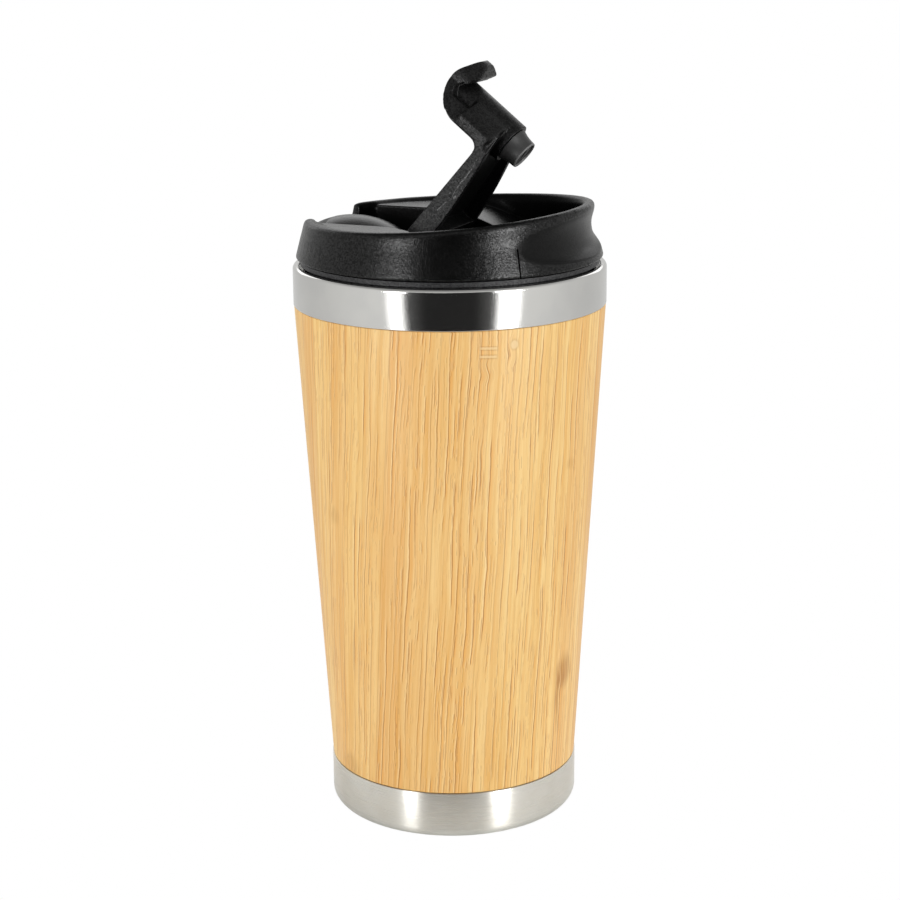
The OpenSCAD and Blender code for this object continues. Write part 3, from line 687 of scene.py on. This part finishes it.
def applied(obj, kind, **settings):
    """Adds a modifier to obj and bakes it into its mesh."""
    modifier = obj.modifiers.new(kind.title(), kind)
    for key, value in settings.items():
        setattr(modifier, key, value)
    evaluated = obj.evaluated_get(bpy.context.evaluated_depsgraph_get())
    mesh = bpy.data.meshes.new_from_object(evaluated)
    obj.modifiers.clear()
    obj.data = mesh
    return obj


def welded_copy(node, name):
    """A copy of a CAD node's mesh whose split vertices are joined."""
    bm = bmesh.new()
    bm.from_mesh(NODES[node].data)
    bmesh.ops.remove_doubles(bm, verts=bm.verts, dist=FACET_MERGE)
    return finished(bm, name)


def softened(node, name, voxel, passes, *fillings):
    """A moulded copy of a CAD node, with any fillings fused in: even mesh, every edge slightly rounded."""
    obj = welded_copy(node, name)
    if fillings:
        bm = bmesh.new()
        for part in (obj, *fillings):
            bm.from_mesh(part.data)
        for part in (obj, *fillings):
            bpy.data.objects.remove(part)
        obj = finished(bm, name)
    applied(obj, "REMESH", mode="VOXEL", voxel_size=voxel, use_smooth_shade=True)
    applied(obj, "SMOOTH", factor=0.5, iterations=passes)
    obj.data.shade_smooth()
    return obj


def rounded(obj, chosen, passes):
    """Smooths only the chosen vertices of a piece, to give them a larger rounding."""
    group = obj.vertex_groups.new(name="Rounded")
    group.add([v.index for v in obj.data.vertices if chosen(v.co / MM)], 1.0, "REPLACE")
    applied(obj, "SMOOTH", factor=0.5, iterations=passes, vertex_group="Rounded")
    obj.data.shade_smooth()
    return obj


def dress(obj, material, body, *replaced):
    """Gives a piece its material; if it stands for CAD nodes, it also gets its body and those nodes are hidden."""
    obj.data.materials.clear()
    obj.data.materials.append(material)
    if replaced:
        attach(obj, body)
        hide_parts(*replaced)
    return obj


def cone_span(node):
    """(greatest radius at the foot, greatest radius at the top, low, high) of a turned CAD node, in millimetres."""
    low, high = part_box(node)
    points = [v.co for v in NODES[node].data.vertices]
    foot_r = max(math.hypot(p.x, p.y) for p in points if p.z < low.z + MM) / MM
    top_r = max(math.hypot(p.x, p.y) for p in points if p.z > high.z - MM) / MM
    return foot_r, top_r, low.z / MM, high.z / MM


def span(node):
    """(least radius, greatest radius, low, high) of a turned CAD node, in millimetres."""
    radii = [math.hypot(v.co.x, v.co.y) / MM for v in NODES[node].data.vertices]
    low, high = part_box(node)
    return min(radii), max(radii), low.z / MM, high.z / MM


# ---------------------------------------------------------------- pieces

# Sizes of the CAD part that the turned pieces repeat, in millimetres: thickness of the collar's and the base's
# steel, rounding of the base's foot, and the recess in the base that holds the pad. Vertices of the collar's leg
# are those within its thickness and this slack
COLLAR_T, BASE_T, LEG_SLACK = 0.6, 0.5, 0.05
BASE_ROUND_R = 3.0
RECESS_Z, RECESS_GAP = 1.2, 0.1
# Part of the lid that is the rim, and how steeply its two ends beside the gap lie in plan
RIM_FOOT_Z, RIM_LEAST_R = 167.5, 35.5
GAP_END_SLOPES = (0.33, 0.62)
# Half the plan of the fill between the lever's post and the sides of its head, closed lever, and its two heights
HEAD_FLOW = [(28, 12), (31.3, 11.8), (32.7, 9), (33.9, 6.5), (34.7, 4.3)]
HEAD_FLOW_Z = (168.9, 180.0)
# Where the post flows into the head, closed lever: past this X, at these distances from the middle plane and at
# these heights above the shoulder
BESIDE_X, BESIDE_Y, BESIDE_Z = 25.8, (2.5, 13.0), (2, 18)
# Rounds of smoothing: the whole lid, its rim, the rim's ends beside the gap, the whole lever, and beside its post
LID_PASSES, RIM_PASSES, GAP_PASSES, LEVER_PASSES, POST_PASSES = 8, 60, 260, 5, 90


class CUP_OT_sleeve(bpy.types.Operator):
    """Turn the bamboo sleeve"""

    bl_idname = "cup.sleeve"
    bl_label = "Bamboo sleeve"

    def execute(self, context):
        foot_r, top_r, z0, z1 = cone_span("bamboo_sleeve")
        wall = foot_r - span("bamboo_sleeve")[0]
        e = sizes().sleeve_edge_r / MM
        outline = [(foot_r - wall, z0), (foot_r - e, z0)]
        outline += arc(foot_r - e, z0 + e, e, -90, 0, 4)
        outline += arc(top_r - e, z1 - e, e, 0, 90, 4)
        outline += [(top_r - wall, z1)]
        dress(lathed("BambooSleeve", outline), material("bamboo"), "cup", "bamboo_sleeve")
        return {"FINISHED"}


class CUP_OT_steel(bpy.types.Operator):
    """Turn the polished collar and the brushed base, and finish the liner"""

    bl_idname = "cup.steel"
    bl_label = "Steel pieces"

    def execute(self, context):
        self.turn_collar()
        self.turn_base()
        dress(NODES["inner_cup"], material("liner"), "cup")
        NODES["inner_cup"].data.shade_smooth()
        return {"FINISHED"}

    def turn_collar(self):
        """The collar, whose lip rolls over into a leg inside."""
        leg_r, out_r, foot_z, top_z = span("steel_collar")
        roll = (out_r - leg_r) / 2
        points = [v.co / MM for v in NODES["steel_collar"].data.vertices]
        leg_z = min(p.z for p in points if math.hypot(p.x, p.y) < leg_r + COLLAR_T + LEG_SLACK)
        e = sizes().sheet_edge_r / MM
        outline = arc(out_r - e, foot_z + e, e, -90, 0, 3)
        outline += arc(leg_r + roll, top_z - roll, roll, 0, 180, 24)
        outline += [(leg_r, leg_z), (leg_r + COLLAR_T, leg_z)]
        outline += arc(leg_r + roll, top_z - roll, roll - COLLAR_T, 180, 0, 12)
        outline += [(out_r - COLLAR_T, foot_z)]
        dress(lathed("SteelCollar", outline), material("polished"), "cup", "steel_collar")

    def turn_base(self):
        """The base cap, with the recess for the pad under it."""
        _, base_r, base_z, base_top = span("base_cap")
        recess_r = span("foot_pad")[1] + RECESS_GAP
        e = sizes().sheet_edge_r / MM
        outline = [(0, RECESS_Z), (recess_r, RECESS_Z), (recess_r, base_z + e)]
        outline += arc(recess_r + e, base_z + e, e, 180, 270, 3)
        outline += arc(base_r - BASE_ROUND_R, base_z + BASE_ROUND_R, BASE_ROUND_R, -90, 0, 14)
        outline += arc(base_r - e, base_top - e, e, 0, 90, 3)
        outline += [(base_r - BASE_T, base_top)]
        outline += arc(base_r - BASE_ROUND_R, base_z + BASE_ROUND_R, BASE_ROUND_R - BASE_T, 0, -90, 8)
        outline += [(recess_r + BASE_T, base_z + BASE_T), (recess_r + BASE_T, RECESS_Z + BASE_T)]
        outline += [(0, RECESS_Z + BASE_T)]
        dress(lathed("BaseCap", outline), material("base"), "cup", "base_cap")


class CUP_OT_inner(bpy.types.Operator):
    """Finish the hidden plastic, the seal and the foot pad"""

    bl_idname = "cup.inner"
    bl_label = "Hidden plastic and pad"

    def execute(self, context):
        keys = {"outer_shell": "inner", "base_ring": "inner", "lip_seal": "silicone", "foot_pad": "pad"}
        for node, key in keys.items():
            dress(NODES[node], material(key), "cup")
        return {"FINISHED"}


class CUP_OT_lid(bpy.types.Operator):
    """Soften the moulded lid, and finish its neck, gasket and hinge pin"""

    bl_idname = "cup.lid"
    bl_label = "Lid"

    def execute(self, context):
        def on_rim(p):
            return p.z > RIM_FOOT_Z and math.hypot(p.x, p.y) > RIM_LEAST_R

        def at_gap(p):
            return on_rim(p) and p.x < 0 and GAP_END_SLOPES[0] < abs(p.y / p.x) < GAP_END_SLOPES[1]

        lid = softened("lid_shell", "LidMoulding", sizes().lid_voxel, LID_PASSES)
        # The rim's top is rounded over, and more so its two ends beside the gap
        rounded(lid, on_rim, RIM_PASSES)
        rounded(lid, at_gap, GAP_PASSES)
        dress(lid, material("lid"), "lid", "lid_shell")
        for node, key in {"neck_ring": "neck", "lid_gasket": "silicone", "hinge_pin": "pin"}.items():
            dress(NODES[node], material(key), "lid")
        return {"FINISHED"}


class CUP_OT_lever(bpy.types.Operator):
    """Soften the flip lever and turn its stopper"""

    bl_idname = "cup.lever"
    bl_label = "Lever and stopper"

    def execute(self, context):
        low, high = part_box("hinge_pin")
        hinge = (low + high) / 2
        swing = Matrix.Rotation(math.radians(-OPEN_ANGLE), 4, "Y")
        opened = Matrix.Translation(hinge) @ swing @ Matrix.Translation(-hinge)
        self.mould_lever(opened)
        self.turn_stopper(opened)
        return {"FINISHED"}

    def mould_lever(self, opened):
        """The lever, with the fill that makes its post flow into the sides of its head."""
        closed = opened.inverted()
        plan = [(x, -y) for x, y in HEAD_FLOW] + [(x, y) for x, y in reversed(HEAD_FLOW)]
        flow = prism("HeadFlow", plan, *HEAD_FLOW_Z)
        flow.data.transform(opened)
        lever = softened("lever", "Lever", sizes().lever_voxel, LEVER_PASSES, flow)

        def beside_post(p):
            """True where the post flows into the head's sides."""
            x, y, z = closed @ (p * MM) / MM
            above = z - SHOULDER_Z
            return x > BESIDE_X and BESIDE_Y[0] < abs(y) < BESIDE_Y[1] and BESIDE_Z[0] < above < BESIDE_Z[1]

        rounded(lever, beside_post, POST_PASSES)
        dress(lever, material("lever"), "lever", "lever")

    def turn_stopper(self, opened):
        """The stopper: a stem, a waisted cone, and a raised ring round an oblong dimple at the tip."""
        stem_r, stem_top, seat_gap, seat_r = 2.6, 6, -0.02, 4.85
        tip_z, floor_z = -4.7, -4.45
        outline = [(0, stem_top), (stem_r, stem_top), (stem_r, seat_gap), (seat_r, seat_gap)]
        outline += [(5.05, -0.2), (4.8, -0.9), (4.5, -1.8), (4.3, -2.8), (4.2, -3.8), (4.15, -4.5)]
        outline += arc(3.85, tip_z, 0.28, 0, -180, 8)
        outline += [(3.45, floor_z), (0, floor_z)]
        stopper = lathed("Stopper", outline)

        dimple_z, dimple_h, dimple_r, dimple_half = -4.6, 1.6, 0.55, 1.0
        bm = bmesh.new()
        peg = {"radius1": dimple_r * MM, "radius2": dimple_r * MM, "depth": dimple_h * MM}
        for x in (-dimple_half, dimple_half):
            place = Matrix.Translation((x * MM, 0, dimple_z * MM))
            bmesh.ops.create_cone(bm, cap_ends=True, segments=24, matrix=place, **peg)
        shape = Matrix.Diagonal((2 * dimple_half * MM, 2 * dimple_r * MM, dimple_h * MM, 1))
        bmesh.ops.create_cube(bm, size=1.0, matrix=Matrix.Translation((0, 0, dimple_z * MM)) @ shape)
        cutter = finished(bm, "Dimple")
        applied(stopper, "BOOLEAN", object=cutter, operation="DIFFERENCE", solver="EXACT", use_self=True)
        bpy.data.objects.remove(cutter)
        stopper.data.transform(opened @ Matrix.Translation((SPOUT_X * MM, 0, SHOULDER_Z * MM)))
        stopper.data.set_sharp_from_angle(angle=math.radians(SHARP_ANGLE))
        dress(stopper, material("silicone"), "lever", "stopper")


# ---------------------------------------------------------------- stage

# Softboxes seen in the steel and the lid, in rows of low, high and brightness; brightest level with the lid
SOFTBOX_ROWS = ((-0.6, 0.13, 2.2), (0.13, 0.42, 15.0), (0.42, 0.9, 1.6))
# Softboxes to the left and right: name, degrees round from the camera's side, half angle, share of the brightness
SOFTBOXES = (("LeftCard", -39.2, 5.7, 1.0), ("RightCard", 42.6, 8.0, 1.15))
# The camera: its place in metres, which way it is turned, tipped down and rolled, its lens and its sideways shift
CAMERA_PLACE = (0.2288, -0.5391, 0.2615)
CAMERA_SIDE, CAMERA_PITCH, CAMERA_ROLL = math.radians(23), 0.2616, -0.0086
CAMERA_LENS, CAMERA_SHIFT = 84.4, -0.00132


def card(name, azimuth, half_angle, distance, low, high, emission, edge=None):
    """An upright studio card that stands round the cup, seen only in reflections; edge is its brightness along both
    sides. Angles in degrees, lengths in metres."""
    bm = bmesh.new()
    steps = 12
    for z in (low, high):
        for i in range(steps + 1):
            a = math.radians(azimuth - half_angle + 2 * half_angle * i / steps)
            bm.verts.new((distance * math.cos(a), distance * math.sin(a), z))
    bm.verts.ensure_lookup_table()
    for i in range(steps):
        bm.faces.new([bm.verts[k] for k in (i, i + 1, i + steps + 2, i + steps + 1)])
    obj = finished(bm, name)
    paint = bpy.data.materials.new(name)
    paint.use_nodes = True
    tree = paint.node_tree
    tree.nodes.clear()
    strength = emission
    if edge is not None:
        x, y, _ = put(tree, "SeparateXYZ", put(tree, "TexCoord", out="Object"), out=None)
        ahead, aside = faced(tree, x, y, azimuth)
        off = put(tree, "Math.ABSOLUTE", put(tree, "Math.ARCTAN2", aside, ahead))
        full = math.radians(half_angle)
        strength = put(tree, "MapRange.SMOOTHSTEP", off, full * 0.5, full * 1.05, emission, edge)
    glow = put(tree, "Emission", Color=(1, 1, 1, 1), Strength=strength)
    put(tree, "OutputMaterial", Surface=glow, out=None)
    obj.data.materials.append(paint)
    obj.visible_camera = False
    obj.visible_diffuse = False
    obj.visible_shadow = False
    obj.visible_transmission = False
    return obj


def lamp(name, azimuth, elevation, distance, width, height, power, aim=(0, 0, 0.09)):
    """A soft rectangular lamp aimed at the cup. Angles in degrees, lengths in metres."""
    data = bpy.data.lights.new(name, "AREA")
    data.shape = "RECTANGLE"
    data.size, data.size_y, data.energy = width, height, power
    obj = bpy.data.objects.new(name, data)
    bpy.context.scene.collection.objects.link(obj)
    a, e = math.radians(azimuth), math.radians(elevation)
    place = Vector((math.cos(a) * math.cos(e), math.sin(a) * math.cos(e), math.sin(e))) * distance
    obj.location = place + Vector(aim)
    obj.rotation_euler = (-place).to_track_quat("-Z", "Y").to_euler()
    obj.visible_camera = False
    obj.visible_glossy = False
    return obj


class CUP_OT_stage(bpy.types.Operator):
    """Set up the white table, the studio cards, the lamps and the camera"""

    bl_idname = "cup.stage"
    bl_label = "Studio"

    def execute(self, context):
        self.light_room(context.scene)
        self.lay_table()
        card("DarkCard", FACING, 32.2, 0.8, -0.6, 0.62, 0.02, 0.12)
        for row, (low, high, glow) in enumerate(SOFTBOX_ROWS):
            for name, aside, half_angle, share in SOFTBOXES:
                card(f"{name}{row}", FACING + aside, half_angle, 0.9, low, high, glow * share)
        card("BackCard", FACING + 180, 40, 1.0, 0.40, 0.85, 1.6)
        lamp("LeftLamp", FACING - 58, 18, 1.0, 0.4, 0.9, 3.0)
        lamp("RightLamp", FACING + 60, 18, 1.0, 0.4, 0.9, 3.0)
        lamp("TopLamp", FACING + 160, 62, 0.9, 0.7, 0.7, 3.0, (0, 0, 0.17))
        self.place_camera(context.scene)
        context.scene.view_settings.view_transform = "Standard"
        return {"FINISHED"}

    def light_room(self, scene):
        """A white background, and a room that is brighter towards the camera's side and darker overhead."""
        world = bpy.data.worlds.new("Studio")
        scene.world = world
        world.use_nodes = True
        tree = world.node_tree
        tree.nodes.clear()
        path = put(tree, "LightPath", out=None)
        seen = put(tree, "Math.MAXIMUM", path["Is Camera Ray"], path["Is Transmission Ray"])
        facing = math.radians(FACING)
        ray = put(tree, "TexCoord", out="Generated")
        toward = (math.cos(facing), math.sin(facing), 0)
        side = put(tree, "VectorMath.DOT_PRODUCT", ray, toward, out="Value")
        height = put(tree, "SeparateXYZ", ray, out="Z")
        round_about = put(tree, "MapRange.SMOOTHSTEP", side, -0.6, 0.6, 0.68, 0.86)
        overhead = put(tree, "MapRange.SMOOTHSTEP", height, 0.45, 0.95, 1.0, 0.45)
        level = put(tree, "Math.MULTIPLY", round_about, overhead)
        room = put(tree, "Background", Color=(1.0, 1.0, 0.99, 1.0), Strength=level)
        white = put(tree, "Background", Color=(1.0, 1.0, 1.0, 1.0), Strength=1.0)
        put(tree, "OutputWorld", Surface=put(tree, "MixShader", seen, room, white), out=None)

    def lay_table(self):
        """A white tabletop that only reflections and bounced light see, just under the cup."""
        bm = bmesh.new()
        under = Matrix.Translation((0, 0, -0.0002))
        bmesh.ops.create_circle(bm, cap_ends=True, segments=96, radius=0.28, matrix=under)
        table = finished(bm, "Table")
        paint = bpy.data.materials.new("Table")
        paint.use_nodes = True
        tree = paint.node_tree
        feed(tree, tree.nodes["Principled BSDF"], Base_Color=rgb("#FAFAF8"), Roughness=0.6)
        table.data.materials.append(paint)
        table.visible_camera = False

    def place_camera(self, scene):
        """The photograph's camera."""
        camera = bpy.data.cameras.new("Camera")
        camera.sensor_width = 36.0
        camera.lens = CAMERA_LENS
        camera.shift_x = CAMERA_SHIFT
        camera.clip_start = 0.01
        eye = bpy.data.objects.new("Camera", camera)
        scene.collection.objects.link(eye)
        side, pitch, roll = CAMERA_SIDE, CAMERA_PITCH, CAMERA_ROLL
        right = Vector((math.cos(side), math.sin(side), 0))
        ahead = Vector((-math.sin(side) * math.cos(pitch), math.cos(side) * math.cos(pitch), -math.sin(pitch)))
        up = right.cross(ahead)
        x_axis = right * math.cos(roll) + up * math.sin(roll)
        y_axis = up * math.cos(roll) - right * math.sin(roll)
        turn = Matrix((x_axis, y_axis, -ahead)).transposed().to_4x4()
        eye.matrix_world = Matrix.Translation(CAMERA_PLACE) @ turn
        scene.camera = eye


class CUP_PT_panel(bpy.types.Panel):
    """Sizes, colours and pieces of the cup"""

    bl_idname = "CUP_PT_panel"
    bl_label = "Bamboo cup"
    bl_space_type = "VIEW_3D"
    bl_region_type = "UI"
    bl_category = "Cup"

    def draw(self, context):
        for group in (context.scene.cup_sizes, context.scene.cup_colours):
            for key in group.__annotations__:
                self.layout.prop(group, key)
        for step in STEPS:
            self.layout.operator(step.bl_idname)


STEPS = (CUP_OT_sleeve, CUP_OT_steel, CUP_OT_inner, CUP_OT_lid, CUP_OT_lever, CUP_OT_stage)
CLASSES = (CupSizes, CupColours, *STEPS, CUP_PT_panel)


def register():
    for item in CLASSES:
        bpy.utils.register_class(item)
    bpy.types.Scene.cup_sizes = PointerProperty(type=CupSizes)
    bpy.types.Scene.cup_colours = PointerProperty(type=CupColours)


def unregister():
    del bpy.types.Scene.cup_colours
    del bpy.types.Scene.cup_sizes
    for item in reversed(CLASSES):
        bpy.utils.unregister_class(item)


def main():
    register()
    for step in STEPS:
        group, name = step.bl_idname.split(".")
        getattr(getattr(bpy.ops, group), name)()


if __name__ == "__main__":
    main()
